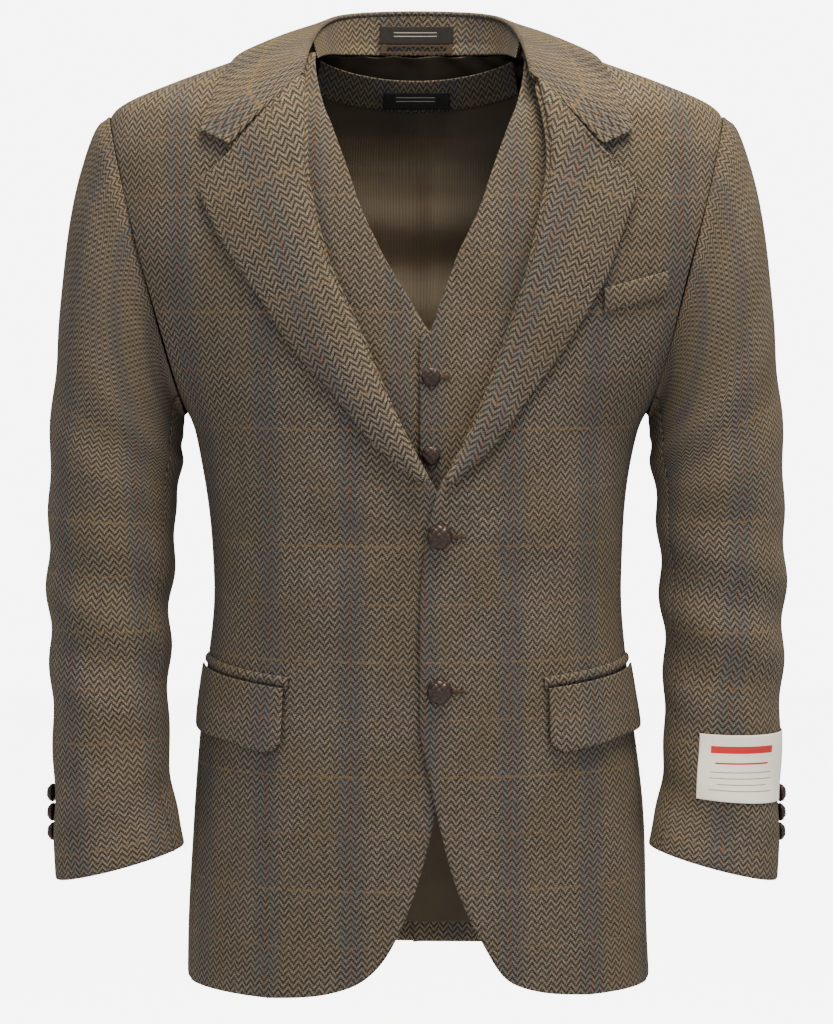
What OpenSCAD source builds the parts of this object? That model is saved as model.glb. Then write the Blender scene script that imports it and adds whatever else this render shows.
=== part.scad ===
// Two-button tweed jacket worn over its matching waistcoat, in the shape that a body fills it to.
// Origin at the back of the neck, where the collar seam crosses the centre back. Front faces -Y.

/* [Jacket body] */
// Half width of the jacket across the chest, at the underarm
chest_half_w = 183; // [150:1:230]
// Half width at the waist
waist_half_w = 169; // [135:1:220]
// Half width at the hem
hem_half_w = 192; // [160:1:240]
// Depth of the chest in front of the shoulder line
front_depth = 120; // [95:1:150]
// Depth of the back behind the shoulder line
back_depth = 118; // [95:1:150]
// Length from the nape down to the hem
jacket_len = 765; // [700:5:840]
// Height of the hem where the front edges start to curve away
cutaway_rise = 150; // [110:5:190]
// Thickness of the tweed with its interlining
tweed_t = 2.2; // [1.6:0.1:3]
// Thickness of a lining
lining_t = 0.8; // [0.6:0.1:1.2]
// Clear gap between two layers of cloth
layer_gap = 1; // [0.6:0.1:1.6]
// Clear gap between the tweed and the lining behind it
lining_gap = 2.2; // [1.6:0.1:2.6]
// How far one front edge lies under the other
lap_under = 34; // [28:1:45]

/* [Shoulders and sleeves] */
// Half width of the shoulders, to the sleeve seam
shoulder_half_w = 251; // [225:1:280]
// Drop of the shoulder point below the nape
shoulder_drop = 57; // [45:1:70]
// Drop of the underarm below the nape
underarm_drop = 300; // [280:1:320]
// Half depth of the armhole, front to back
armhole_half_d = 64; // [52:1:72]
// Width of the sleeve at the cuff
cuff_w = 106; // [90:1:120]
// Half depth of the sleeve at the cuff
cuff_half_d = 42; // [34:1:50]
// Clear gap between the sleeve and the body at the armhole
armhole_gap = 0.6; // [0.4:0.1:1]

/* [Collar and lapels] */
// Height of the collar above the nape
collar_h = 38; // [30:1:46]
// Width of each lapel's step below the notch
lapel_tip_x = 170; // [155:1:180]

/* [Pockets] */
// Depth of a hip pocket flap
flap_h = 52; // [44:1:62]
// Height of the hip pockets' top edge, below the nape
flap_drop = 503; // [480:1:520]
// Width of the breast pocket welt
welt_w = 52; // [45:1:58]

/* [Buttons] */
// Diameter of a front button
button_d = 20; // [17:0.5:23]
// Diameter of a cuff or waistcoat button
small_button_d = 15; // [12:0.5:17]
// Drop of the top front button below the nape
top_button_drop = 392; // [380:1:405]
// Distance between the front buttons
button_pitch = 123; // [100:1:135]
// Distance of the button line from the centre front
button_line = 18; // [16:1:20]

/* [Waistcoat] */
// Depth of the waistcoat below the jacket's surface
waistcoat_inset = 12; // [11:0.5:15]
// Length of the waistcoat from the nape
waistcoat_len = 575; // [540:5:600]
// Drop of the bottom of the V below the nape
v_drop = 232; // [215:1:245]

/* [Hidden] */

RIGHT = -1;              // the wearer's right is at -X
LEFT = 1;
ROUND = 2.3;             // exponent of the body's rounded section
RIDGE = 0.14;            // degrees kept clear on each side of a seam
lining_in = -(tweed_t + lining_gap);
lap_tuck = tweed_t + 1.4 * layer_gap;
lapel_gap = 1.8 * layer_gap;
vest_out = -waistcoat_inset;
vest_in = vest_out - 2;
arm_slope = 61 / 243;    // how far the armhole leans in for each millimetre of drop
flap_front_x = 103;      // where the flap's front end lies
flap_rake = 11;          // how much lower the flap's front end hangs than its back end
flap_back_a = 7;         // and the angle of its back end
welt_x = 172;            // X of the middle of the breast welt
welt_drop = 190;

// Half width, front depth and back depth of the jacket's outer surface at height z.
function half_w(z) = lookup(z, [
    [-jacket_len, hem_half_w], [-640, hem_half_w - 5], [-520, waist_half_w + 7], [-440, waist_half_w],
    [-400, waist_half_w + 1], [-underarm_drop - 13, chest_half_w],
    [-underarm_drop, shoulder_half_w - 62.5], [10 - underarm_drop, shoulder_half_w - 56],
    [-220, shoulder_half_w - 15], [-150, shoulder_half_w + 8], [-90, shoulder_half_w + 11],
    [-shoulder_drop - 6, shoulder_half_w + 3], [-shoulder_drop, shoulder_half_w - 0.6],
    [-49, shoulder_half_w - 9], [-30, 198], [-12, 148], [0, 115], [10, 86]]);
function front_d(z) = lookup(z, [
    [-jacket_len, front_depth - 8], [-520, front_depth - 2], [-313, front_depth + 4],
    [-220, front_depth], [-150, front_depth - 4], [-90, front_depth - 15], [-57, front_depth - 27],
    [-39, front_depth - 40], [-20, front_depth - 57], [0, front_depth - 75], [10, front_depth - 90]]);
function back_d(z) = lookup(z, [
    [-jacket_len, back_depth + 4], [-640, back_depth], [-520, back_depth - 15], [-400, back_depth - 22],
    [-313, back_depth - 6], [-200, back_depth + 5], [-90, back_depth - 4], [-57, back_depth - 14],
    [-39, back_depth - 20], [-20, back_depth - 30], [0, back_depth - 42], [10, back_depth - 62]]);
function rise_share(z) = lookup(z, [[-110, 0], [-60, 0.5], [-40, 0.9]]);

// The point on the body at height z and angle a (0 at the side, 90 at the front, -90 at the back),
// moved outward by off. s picks the side.
function power(v) = sign(v) * pow(abs(v), 2 / ROUND);
function body_pt(s, z, a, off) = [
    s * (half_w(z) + off) * power(cos(a)),
    -((a < 0 ? back_d(z) : front_d(z)) + off) * power(sin(a)),
    z + off * rise_share(z)];
// The angle at which the body at height z reaches the half width x.
function angle_at(z, x) =
    abs(x) >= half_w(z) ? (x > 0 ? 0 : 180) : acos(sign(x) * pow(abs(x) / half_w(z), ROUND / 2));
function front_pt(s, x, z, off) = body_pt(s, z, max(RIDGE, angle_at(z, s * x)), off);

// The armhole, as the half width where each row stops.
function armhole_x(z) = shoulder_half_w - arm_slope * (-z - shoulder_drop) - armhole_gap;
function seam_angle(z, low) = max(RIDGE, z < -underarm_drop ? 0 : angle_at(z, armhole_x(z)), lookup(z, low));
function side_front(z) = seam_angle(z, [[-345, 14], [-296, 5], [-295, 0]]);
function side_back(z) = seam_angle(z, [[-345, 25], [-296, 8], [-295, 0]]);

// Where each front stops: down the roll line, the lapped edge and the curve to the hem.
function roll_x(s, z) = s == RIGHT
    ? lookup(z, [[-356, -16], [-221, 47], [-170, 70], [-93, 85], [0, 85], [10, 80]])
    : lookup(z, [[-356, 16], [-221, 74], [-170, 89], [-93, 102], [-30, 92], [0, 85], [10, 80]]);
function curve_x(s, z) = lookup((z + jacket_len) / cutaway_rise, [
    [0, s == RIGHT ? 100 : 125], [0.03, s == RIGHT ? 68 : 97], [0.1, s == RIGHT ? 44 : 74],
    [0.27, s == RIGHT ? 21 : 56], [0.66, s == RIGHT ? -3 : 29], [1, s == RIGHT ? -16 : 16]]);
function edge_x(s, z) = z > -356 ? roll_x(s, z)
    : z < cutaway_rise - jacket_len ? curve_x(s, z)
    : s == RIGHT ? -lookup(z, [[cutaway_rise - jacket_len, 16], [-560, lap_under], [-400, lap_under],
        [-356, 16]])
    : lookup(z, [[cutaway_rise - jacket_len, 16], [-590, 11], [-540, 2], [-460, 2], [-400, 6], [-356, 16]]);
// The right front dips under the left one near the centre.
function tuck(s, z, a) = s == LEFT ? 0
    : -lap_tuck * lookup(half_w(z) * power(cos(a)), [[-10, 1], [2, 1], [34, 0]])
        * lookup(z, [[-370, 1], [-330, 0]]);

// A closed solid between an outer and an inner grid of points, rows first.
module skin(outer, inner) {
    rows = len(outer);
    cols = len(outer[0]);
    count = rows * cols;
    pts = [for (grid = [outer, inner]) for (row = grid) for (p = row) p];
    function at(i, j) = i * cols + j;
    sheets = [for (i = [0:rows - 2]) for (j = [0:cols - 2])
        each [[at(i, j), at(i + 1, j), at(i + 1, j + 1)], [at(i, j), at(i + 1, j + 1), at(i, j + 1)],
              [count + at(i, j), count + at(i + 1, j + 1), count + at(i + 1, j)],
              [count + at(i, j), count + at(i, j + 1), count + at(i + 1, j + 1)]]];
    ends = [for (i = [0:rows - 2])
        each [[at(i, 0), count + at(i, 0), count + at(i + 1, 0)],
              [at(i, 0), count + at(i + 1, 0), at(i + 1, 0)],
              [at(i, cols - 1), count + at(i + 1, cols - 1), count + at(i, cols - 1)],
              [at(i, cols - 1), at(i + 1, cols - 1), count + at(i + 1, cols - 1)]]];
    rims = [for (j = [0:cols - 2])
        each [[at(0, j), count + at(0, j + 1), count + at(0, j)],
              [at(0, j), at(0, j + 1), count + at(0, j + 1)],
              [at(rows - 1, j), count + at(rows - 1, j), count + at(rows - 1, j + 1)],
              [at(rows - 1, j), count + at(rows - 1, j + 1), at(rows - 1, j + 1)]]];
    polyhedron(pts, concat(sheets, ends, rims), convexity = 6);
}
// Mirrored grids turn the other way, so their columns run backwards.
function turned(grid, s) = s == RIGHT ? grid : [for (row = grid) [for (j = [len(row) - 1:-1:0]) row[j]]];
module panel(s, outer, inner) skin(turned(outer, s), turned(inner, s));

// Rows of points below the underarm, shared by every panel of the body so that their seams meet.
LOW_ROWS = [4 - underarm_drop, -13 - underarm_drop, -330, -356, -400, -450, -500, -550, -600, -650, -700];
FRONT_ROWS = concat([8, -8, -22, -38, -49, 0.3 - shoulder_drop, -63, -75, -95, -120, -150, -185, -221, -260],
    LOW_ROWS, [for (rise = [40, 24, 13, 6, 0]) rise - jacket_len]);
function front_grid(s, off, zs, x_back = 0) = [for (z = zs)
    let (a0 = side_front(z), a1 = max(a0 + 0.6, angle_at(z, s * (s * edge_x(s, z)) + x_back)))
    [for (j = [0:8]) let (a = a0 + (a1 - a0) * j / 8) body_pt(s, z, a, off + tuck(s, z, a))]];
function back_grid(s, off, zs, neck) = [for (z = zs)
    let (a0 = -side_back(z), a1 = min(a0 - 0.6, -angle_at(z, lookup(z, neck)) + RIDGE))
    [for (j = [0:7]) body_pt(s, z, a1 + (a0 - a1) * j / 7, off)]];

module front(s) {
    color("rosybrown") panel(s, front_grid(s, 0, FRONT_ROWS), front_grid(s, -tweed_t, FRONT_ROWS));
}
BACK_ROWS = concat([8, 0, -8, -22, -38, -49, 0.3 - shoulder_drop, -63, -80, -110, -150, -200, -235, -260, -280],
    LOW_ROWS, [-jacket_len]);
BACK_NECK = [[-8, 0], [0, 55], [8, 82]];
module back(s) {
    color("tan") panel(s, back_grid(s, 0, BACK_ROWS, BACK_NECK), back_grid(s, -tweed_t, BACK_ROWS, BACK_NECK));
}
SIDE_ROWS = concat([-1 - underarm_drop], [for (z = LOW_ROWS) if (z < -underarm_drop) z], [-jacket_len]);
function side_grid(s, off) = [for (z = SIDE_ROWS)
    let (a0 = -side_back(z) + RIDGE * 2, a1 = side_front(z) - RIDGE * 2)
    [for (j = [0:5]) body_pt(s, z, a0 + (a1 - a0) * j / 5, off)]];
module side(s) {
    color("sienna") panel(s, side_grid(s, 0), side_grid(s, -tweed_t));
}

// Lapels: a strip from the roll line to the lapel's edge, lying on the front.
function lapel_edge(s) = s == RIGHT
    ? [[143, -90], [lapel_tip_x, -113], [155, -153], [131, -191], [115, -215], [99, -240], [61, -284], [29, -324],
       [-5, -350]]
    : [[143, -90], [lapel_tip_x + 2, -113], [160, -155], [148, -187], [133, -214], [117, -240], [88, -281],
       [56, -324], [26, -352]];
ROLL_ROWS = [-34, -58, -95, -135, -170, -200, -250, -300, -346];
function lapel_grid(s, off) = [for (k = [0:8])
    let (e = lapel_edge(s)[k], r = [roll_x(s, ROLL_ROWS[k]) + 1, ROLL_ROWS[k]])
    [for (j = [0:6]) let (p = e + (r - e) * j / 6, lift = 2.4 * sin(30 + 150 * j / 6))
        front_pt(s, s * p[0], p[1], off + lift)]];
module lapel(s) {
    color("burlywood") panel(s, lapel_grid(s, lapel_gap + tweed_t), lapel_grid(s, lapel_gap));
}

// Collar: the stand rises from the neck seam, and the leaf falls from the fold over the shoulders.
function fold_line() = [
    [0, 74, collar_h], [35, 72, collar_h - 1], [66, 55, collar_h - 7], [85, 25, collar_h - 17], [94, -10, 10],
    [91, -34, -12], [90, -50, -29]];
COLLAR_OUT = 5.6;
function leaf_edge() = [
    [0, back_depth - 24, -9], [45, back_depth - 26, -9], [97, back_depth - 48, -3], [125, 20, 9],
    front_pt(LEFT, 139, -16, COLLAR_OUT), front_pt(LEFT, 167, -75, COLLAR_OUT),
    front_pt(LEFT, 143, -86, COLLAR_OUT)];
function stand_foot() = [
    [0, back_depth - 46, 3], [33, back_depth - 49, 4], [62, 50, 6], [79, 22, 8], [81, -8, -1]];
function flip(p, s) = [s * p[0], p[1], p[2]];
function both_sides(row) = concat([for (k = [len(row) - 1:-1:1]) flip(row[k], RIGHT)], row);
// A point between the stations of a list, at station number k.
function station(list, k) = let (i = min(floor(k), len(list) - 2)) list[i] + (list[i + 1] - list[i]) * (k - i);
STATIONS = [0:0.5:6];
// Cloth that would dip into the chest is held out in front of it.
function held_out(p) = abs(p[0]) >= half_w(p[2]) ? p
    : [p[0], min(p[1], front_pt(LEFT, p[0], p[2], COLLAR_OUT)[1]), p[2]];
function leaf_row(t, up) = both_sides([for (k = STATIONS)
    let (f = station(fold_line(), k), e = station(leaf_edge(), k),
         mid = sin(180 * t) * lookup(k, [[0, 3], [4, 4], [6, 3]]),
         out = [0.45, k < 3 ? 0.75 : -0.65, 0.8], p = f + (e - f) * t + out * (mid + (1 - t) * 1.5))
    (k < 2.5 ? p : held_out(p)) + out * up]);
module collar_leaf() {
    color("peru") skin([for (t = [0:0.2:1]) leaf_row(t, tweed_t)], [for (t = [0:0.2:1]) leaf_row(t, 0)]);
}
// The stand ends at the side of the neck, where the lapel's roll takes over.
function stand_row(t, inward) = both_sides([for (k = [0:0.5:4])
    let (b = station(stand_foot(), k), f = station(fold_line(), k) - [2, k < 3 ? 2 : -1, 1.5])
    b + (f - b) * t - inward * (k < 3 ? [0.35, 1, 0] : [1, -0.2, 0])]);
module collar_stand() {
    color("saddlebrown") skin([for (t = [1:-0.25:0]) stand_row(t, 0)], [for (t = [1:-0.25:0]) stand_row(t, 1.6)]);
}

// Shoulder pads, between the shell and the lining.
PAD_ROWS = [-8, -22, -38, -49];
pad_out = -(tweed_t + 0.8 * layer_gap);
function pad_grid(s, off) = [for (z = PAD_ROWS)
    let (a0 = angle_at(z, min(half_w(z), 128)) * 0.75)
    [for (j = [0:6]) body_pt(s, z, a0 * (1 - j / 3), off)]];
module pad(s) {
    color("lightgray") panel(s, [for (row = pad_grid(s, pad_out)) [for (j = [6:-1:0]) row[j]]],
        [for (row = pad_grid(s, pad_out - 5)) [for (j = [6:-1:0]) row[j]]]);
}

// Linings of the jacket's body.
LINING_ROWS = concat([for (z = BACK_ROWS) if (z < -4 && z > -700) z], [-700, 18 - jacket_len]);
function lining_reach(z) = z > -64 ? angle_at(z, lookup(z, [[-63, 225], [-57, 180], [-49, 120]]))
    : side_back(z);
function lining_half(z, off, s) = let (a0 = -lining_reach(z))
    [for (j = [0:7]) body_pt(s, z, -90 + RIDGE + (a0 + 90 - RIDGE) * j / 7, off)];
function lining_grid(off) = [for (z = LINING_ROWS) let (right = lining_half(z, off, RIGHT))
    concat([for (j = [7:-1:0]) right[j]], lining_half(z, off, LEFT))];
module lining_back() {
    color("olive") skin(lining_grid(lining_in), lining_grid(lining_in - lining_t));
}
LINING_FRONT_ROWS = [for (z = FRONT_ROWS) if (z < -56 && z > -jacket_len) z];
function lining_front_grid(s, off) = [for (z = LINING_FRONT_ROWS)
    let (a0 = z > -345 ? side_front(z) : -10, stop = max(edge_x(s, z), z > -356 ? 20 : 8) + 42,
         a1 = max(a0 + 1, angle_at(z, stop)))
    [for (j = [0:8]) body_pt(s, z, a0 + (a1 - a0) * j / 8, off)]];
module lining_front(s) {
    color("darkkhaki") panel(s, lining_front_grid(s, lining_in), lining_front_grid(s, lining_in - lining_t));
}
module hanger_loop() {
    color("black") translate([0, back_depth - 51, 3]) rotate([90, 0, 0])
        linear_extrude(1.2) difference() {
            square([60, 7], center = true);
            square([50, 4.4], center = true);
        }
}

// Sleeves: each ring is set by its outer and inner end, its middle in Y and its half depth.
CUFF_IN = shoulder_half_w - 63;
// Inner end of each ring, as far in from the shoulder's end as the arm hangs.
function inner(d, z) = [shoulder_half_w - d, z];
RINGS = [
    [[shoulder_half_w, -shoulder_drop], inner(61, -underarm_drop), 0, armhole_half_d],
    [[shoulder_half_w + 12, -70], inner(60, -303), 0, armhole_half_d + 3],
    [[shoulder_half_w + 25, -104], inner(60, -307), 0, armhole_half_d + 7],
    [[shoulder_half_w + 35, -152], inner(59.5, -311), 0, armhole_half_d + 10],
    [[shoulder_half_w + 42, -215], inner(59, -318), -1, armhole_half_d + 11],
    [[shoulder_half_w + 48, -290], inner(58, -335), -3, armhole_half_d + 10],
    [[shoulder_half_w + 52, -370], inner(54, -378), -8, armhole_half_d + 5],
    [[shoulder_half_w + 52, -450], inner(50, -450), -16, 61],
    [[shoulder_half_w + 48, -530], inner(48, -528), -28, 53],
    [[CUFF_IN + cuff_w + 2, -600], inner(51, -594), -41, cuff_half_d + 4],
    [[CUFF_IN + cuff_w, -676], [CUFF_IN, -648], -54, cuff_half_d]];
function ring_pt(s, ring, b, off) =
    let (mid = (ring[0] + ring[1]) / 2, half = (ring[0] - ring[1]) / 2, k = 1 + off / norm(half))
    [s * (mid[0] + half[0] * cos(b) * k), ring[2] - (ring[3] + off) * sin(b), mid[1] + half[1] * cos(b) * k];
function sleeve_grid(s, off, from, to, steps, rings) = [for (ring = rings)
    [for (j = [0:steps]) ring_pt(s, ring, from + (to - from) * j / steps, off)]];
BACK_SEAM = 112;         // degrees round from the outer edge
FRONT_SEAM = 150;
SEAM_GAP = 0.4;
module sleeve_top(s) {
    color("rosybrown") panel(s, sleeve_grid(s, 0, -BACK_SEAM, FRONT_SEAM, 18, RINGS),
        sleeve_grid(s, -tweed_t, -BACK_SEAM, FRONT_SEAM, 18, RINGS));
}
module sleeve_under(s) {
    color("sienna") panel(s, sleeve_grid(s, 0, FRONT_SEAM + SEAM_GAP, 360 - SEAM_GAP - BACK_SEAM, 8, RINGS),
        sleeve_grid(s, -tweed_t, FRONT_SEAM + SEAM_GAP, 360 - SEAM_GAP - BACK_SEAM, 8, RINGS));
}
module sleeve_lining(s) {
    rings = [for (k = [1:9]) RINGS[k]];
    color("olive") panel(s, sleeve_grid(s, lining_in, 0.5, 359.5, 20, rings),
        sleeve_grid(s, lining_in - lining_t, 0.5, 359.5, 20, rings));
}
// A ring part of the way from one numbered ring to the next: 8.5 lies half way from ring 8 to ring 9.
function ring_at(t) = let (i = min(floor(t), len(RINGS) - 2)) RINGS[i] + (RINGS[i + 1] - RINGS[i]) * (t - i);
module cuff_label() {
    rings = [for (t = [8.36:0.16:9.17]) ring_at(t)];
    color("white") panel(LEFT, sleeve_grid(LEFT, 1.4, -5, 118, 12, rings),
        sleeve_grid(LEFT, 0.8, -5, 118, 12, rings));
}

// Hip pockets: a flap that hangs from its top edge under a narrow jetting.
function flap_grid(s, off) = [for (i = [0:5])
    let (z = -flap_drop - flap_h * i / 5, a1 = angle_at(z, flap_front_x + lookup(i, [[3, 0], [4, 3], [5, 12]])),
         a0 = flap_back_a + lookup(i, [[4, 0], [5, 1.5]]))
    [for (j = [0:10]) body_pt(s, z - flap_rake * j / 10, a0 + (a1 - a0) * j / 10,
        off + lookup(i, [[0, 0.4], [1, 1]]))]];
module flap(s) {
    color("wheat") panel(s, flap_grid(s, 2 + tweed_t), flap_grid(s, 2));
}
function jetting_grid(s, off) = [for (z = [9 - flap_drop, 0.4 - flap_drop])
    let (a1 = angle_at(z, flap_front_x - 3), a0 = flap_back_a - 1)
    [for (j = [0:10]) body_pt(s, z - flap_rake * j / 10, a0 + (a1 - a0) * j / 10, off)]];
module jetting(s) {
    color("maroon") panel(s, jetting_grid(s, 2.2), jetting_grid(s, 0.4));
}
function welt_grid(off) = [for (i = [0:2])
    [for (j = [0:5]) let (x = welt_x + welt_w * (0.5 - j / 5), z = -welt_drop + (x - welt_x) * 0.26 - 10 * i)
        front_pt(LEFT, x, z, off)]];
module breast_welt() {
    color("wheat") panel(LEFT, welt_grid(0.5 + tweed_t), welt_grid(0.5));
}

// Buttons: a domed leather cover on a short shank. Each stands on the cloth at p and faces along turn.
module button(d, p, turn) {
    color("firebrick") translate(p) rotate(turn) rotate_extrude($fn = 48)
        polygon([[0, 0], [d * 0.16, 0], [d * 0.16, 2], [d * 0.42, 2.4], [d * 0.5, 4], [d * 0.44, 5.6],
            [d * 0.28, 7], [0, 7.8]]);
}
module front_button(i) {
    z = -top_button_drop - button_pitch * i;
    p = front_pt(LEFT, button_line, z, 0.35);
    button(button_d, p, [90, 0, 0]);
}
VEST_PITCH = 62;
VEST_TUCK = 3.4;         // how far an under front dips beneath the one over it
VEST_BUTTON_H = waistcoat_inset - tweed_t - VEST_TUCK - 2.4;   // the room that the closed jacket leaves
module waistcoat_button(i) {
    z = -v_drop - 35 - VEST_PITCH * i;
    p = front_pt(LEFT, button_line - 6, z, vest_out + 0.35);
    color("firebrick") translate(p) rotate([90, 0, 0]) scale([1, 1, VEST_BUTTON_H]) rotate_extrude($fn = 40)
        polygon([[0, 0], [small_button_d * 0.14, 0], [small_button_d * 0.14, 0.2], [small_button_d * 0.5, 0.35],
            [small_button_d * 0.46, 0.7], [small_button_d * 0.28, 0.9], [0, 1]]);
}
// The cuff buttons stand in a row just behind the sleeve's outer edge.
CUFF_BUTTON_AT = 9.12;
CUFF_BUTTON_STEP = 0.204;
CUFF_BUTTON_B = 12;
CUFF_BUTTON_LEAN = 14;
module cuff_button(s, i) {
    p = ring_pt(s, ring_at(CUFF_BUTTON_AT + CUFF_BUTTON_STEP * i), -CUFF_BUTTON_B, 0.5);
    button(small_button_d, p, [0, s * 90, s * CUFF_BUTTON_LEAN]);
}

// Labels in the back of each neck. The jacket's follows the inside of the collar stand.
function label_pt(x, inward, z) = [x, back_depth - 48.2 - abs(x) * 0.092 - inward, z];
function label_grid(inward) = [for (z = [22, 7]) [for (x = [-31:15.5:31]) label_pt(x, inward, z)]];
module jacket_label() {
    color("dimgray") skin(label_grid(0), label_grid(0.6));
}

// Waistcoat: tweed fronts, a satin back and its lining, one surface inside the jacket.
VEST_NECK = [[-v_drop, -10], [-198, 14], [-166, 32], [-131, 50], [-95, 62], [-57, 73], [-20, 82], [8, 86]];
VEST_ARM = [[-285, 215], [-250, 176], [-200, 160], [-130, 152], [-60, 158], [-22, 168], [8, 172]];
VEST_ROWS = [6, -8, -22, -38, -49, -57, -63, -80, -95, -131, -166, -198, -v_drop, -260, -285, -320, -360, -400, -440, -480,
    -520, -550, -waistcoat_len];
function vest_side(z) = max(RIDGE * 0.8, angle_at(z, lookup(z, VEST_ARM)));
function vest_front_x(s, z) = z > -v_drop ? lookup(z, VEST_NECK) + (s == RIGHT ? -4 : 4)
    : s == RIGHT ? -24 : 2;
function vest_tuck(s, z, a) = s == LEFT ? 0
    : -VEST_TUCK * lookup(half_w(z) * power(cos(a)), [[-10, 1], [2, 1], [30, 0]]) * lookup(z, [[-215, 1], [-150, 0]]);
function vest_front_grid(s, off) = [for (z = VEST_ROWS)
    let (a0 = vest_side(z), a1 = max(a0 + 0.8, angle_at(z, vest_front_x(s, z))))
    [for (j = [0:8]) let (a = a0 + (a1 - a0) * j / 8) body_pt(s, z, a, off + vest_tuck(s, z, a))]];
module waistcoat_front(s) {
    color("burlywood") panel(s, vest_front_grid(s, vest_out), vest_front_grid(s, vest_in));
}
function vest_back_grid(off) = [for (z = VEST_ROWS) if (z < -8) let (a0 = vest_side(z))
    [for (j = [14:-1:0]) body_pt(LEFT, z, -a0 - (180 - 2 * a0) * j / 14, off)]];
module waistcoat_back() {
    color("darkolivegreen") skin(vest_back_grid(vest_out), vest_back_grid(vest_out - lining_t));
}
module waistcoat_lining() {
    color("olive") skin(vest_back_grid(vest_out - lining_t - layer_gap),
        vest_back_grid(vest_out - 2 * lining_t - layer_gap));
}
BAND_REACH = 84;
BAND_RISE = 25;
BAND_OUT = vest_out - 2 * lining_t - 1.8 * layer_gap;
// The band rises from the middle of the back to the top of each shoulder.
function band_row(z, off) = [for (x = [-BAND_REACH:BAND_REACH / 6:BAND_REACH])
    let (at = z + BAND_RISE * pow(abs(x) / BAND_REACH, 2), a = angle_at(at, abs(x)))
    body_pt(LEFT, at, x < 0 ? a - 180 : -a, off)];
function band_grid(off) = [for (z = [-23, -35, -47]) band_row(z, off)];
module neck_band() {
    color("peru") skin(band_grid(BAND_OUT), band_grid(BAND_OUT - 1.2));
}
function vest_label_grid(off) = [for (z = [-31, -44])
    [for (j = [4:-1:0]) body_pt(LEFT, z, -angle_at(z, 31) - (180 - 2 * angle_at(z, 31)) * j / 4, off)]];
module waistcoat_label() {
    color("dimgray") skin(vest_label_grid(BAND_OUT - 1.9), vest_label_grid(BAND_OUT - 2.5));
}

// The adjusting straps across the waistcoat's back, joined by a buckle.
STRAP_Z = -440;
STRAP_OUT = vest_out + 0.4;
function strap_grid(off, from, to) = [for (z = [STRAP_Z + 12, STRAP_Z - 12])
    [for (j = [0:7]) body_pt(LEFT, z, from + (to - from) * j / 7, off)]];
module strap(s) {
    from = s == LEFT ? -87.5 : -130;
    to = s == LEFT ? -50 : -92.5;
    color("darkolivegreen") skin(strap_grid(STRAP_OUT + 0.9, from, to), strap_grid(STRAP_OUT, from, to));
}
module strap_buckle() {
    color("silver") translate([0, back_d(STRAP_Z) + STRAP_OUT + 1.7, STRAP_Z]) rotate([-90, 0, 0])
        linear_extrude(1.6) difference() {
            square([30, 34], center = true);
            translate([6, 0]) square([8, 26], center = true);
            translate([-6, 0]) square([8, 26], center = true);
        }
}

front(RIGHT);  // front_right
front(LEFT);  // front_left
side(RIGHT);  // side_right
side(LEFT);  // side_left
back(RIGHT);  // back_right
back(LEFT);  // back_left
lapel(RIGHT);  // lapel_right
lapel(LEFT);  // lapel_left
collar_leaf();
collar_stand();
pad(RIGHT);  // pad_right
pad(LEFT);  // pad_left
lining_back();
lining_front(RIGHT);  // lining_front_right
lining_front(LEFT);  // lining_front_left
hanger_loop();
sleeve_top(RIGHT);  // sleeve_top_right
sleeve_under(RIGHT);  // sleeve_under_right
sleeve_lining(RIGHT);  // sleeve_lining_right
sleeve_top(LEFT);  // sleeve_top_left
sleeve_under(LEFT);  // sleeve_under_left
sleeve_lining(LEFT);  // sleeve_lining_left
cuff_label();
flap(RIGHT);  // flap_right
flap(LEFT);  // flap_left
jetting(RIGHT);  // jetting_right
jetting(LEFT);  // jetting_left
breast_welt();
front_button(0);  // front_button_1
front_button(1);  // front_button_2
cuff_button(RIGHT, 0);  // cuff_button_right_1
cuff_button(RIGHT, 1);  // cuff_button_right_2
cuff_button(RIGHT, 2);  // cuff_button_right_3
cuff_button(LEFT, 0);  // cuff_button_left_1
cuff_button(LEFT, 1);  // cuff_button_left_2
cuff_button(LEFT, 2);  // cuff_button_left_3
jacket_label();
waistcoat_label();
waistcoat_front(RIGHT);  // waistcoat_front_right
waistcoat_front(LEFT);  // waistcoat_front_left
waistcoat_back();
waistcoat_lining();
neck_band();
waistcoat_button(0);  // waistcoat_button_1
waistcoat_button(1);  // waistcoat_button_2
waistcoat_button(2);  // waistcoat_button_3
waistcoat_button(3);  // waistcoat_button_4
waistcoat_button(4);  // waistcoat_button_5
strap(RIGHT);  // strap_right
strap(LEFT);  // strap_left
strap_buckle();
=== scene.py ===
# %% [markdown]
# # A tweed jacket over its waistcoat
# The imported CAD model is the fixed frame. Each stiff panel in it is replaced by cloth that has thickness,
# soft folds and a woven material, and each plain button by a plaited leather one.

# %% Load the frame
import math

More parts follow.
